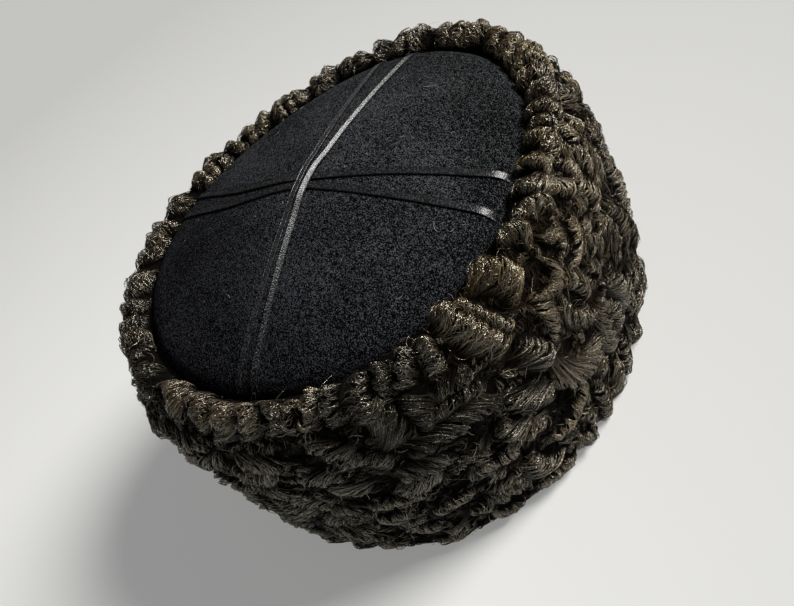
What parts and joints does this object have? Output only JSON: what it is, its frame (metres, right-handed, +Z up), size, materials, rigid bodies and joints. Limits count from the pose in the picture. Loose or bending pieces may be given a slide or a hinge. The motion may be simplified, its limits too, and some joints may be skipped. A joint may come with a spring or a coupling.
{
  "type": "papakha fur hat",
  "caption": "Tall papakha hat: a hollow band of curly karakul fur round a shallow tented wool cloth crown, which is crossed by pairs of narrow satin ribbons.",
  "frame": {"origin": "on the surface that the hat stands on, at the middle of the box round the hat", "axes": "+Z up from the hem to the crown, -Y towards the front of the head, Y along the long axis of the oval opening"},
  "size_m": [0.1919, 0.2278, 0.1325],
  "materials": {
    "curly_fur": "curled brown-black karakul fur with a silky gloss along the hair",
    "wool_cloth": "charcoal wool cloth with a short felted nap",
    "satin_ribbon": "black satin ribbon"
  },
  "bodies": {
    "root": {"fur_band": "curly_fur", "crown_cloth": "wool_cloth", "ribbon_over_right": "satin_ribbon", "ribbon_over_left": "satin_ribbon", "ribbon_under_back": "satin_ribbon", "ribbon_under_front": "satin_ribbon"}
  },
  "joints": []
}
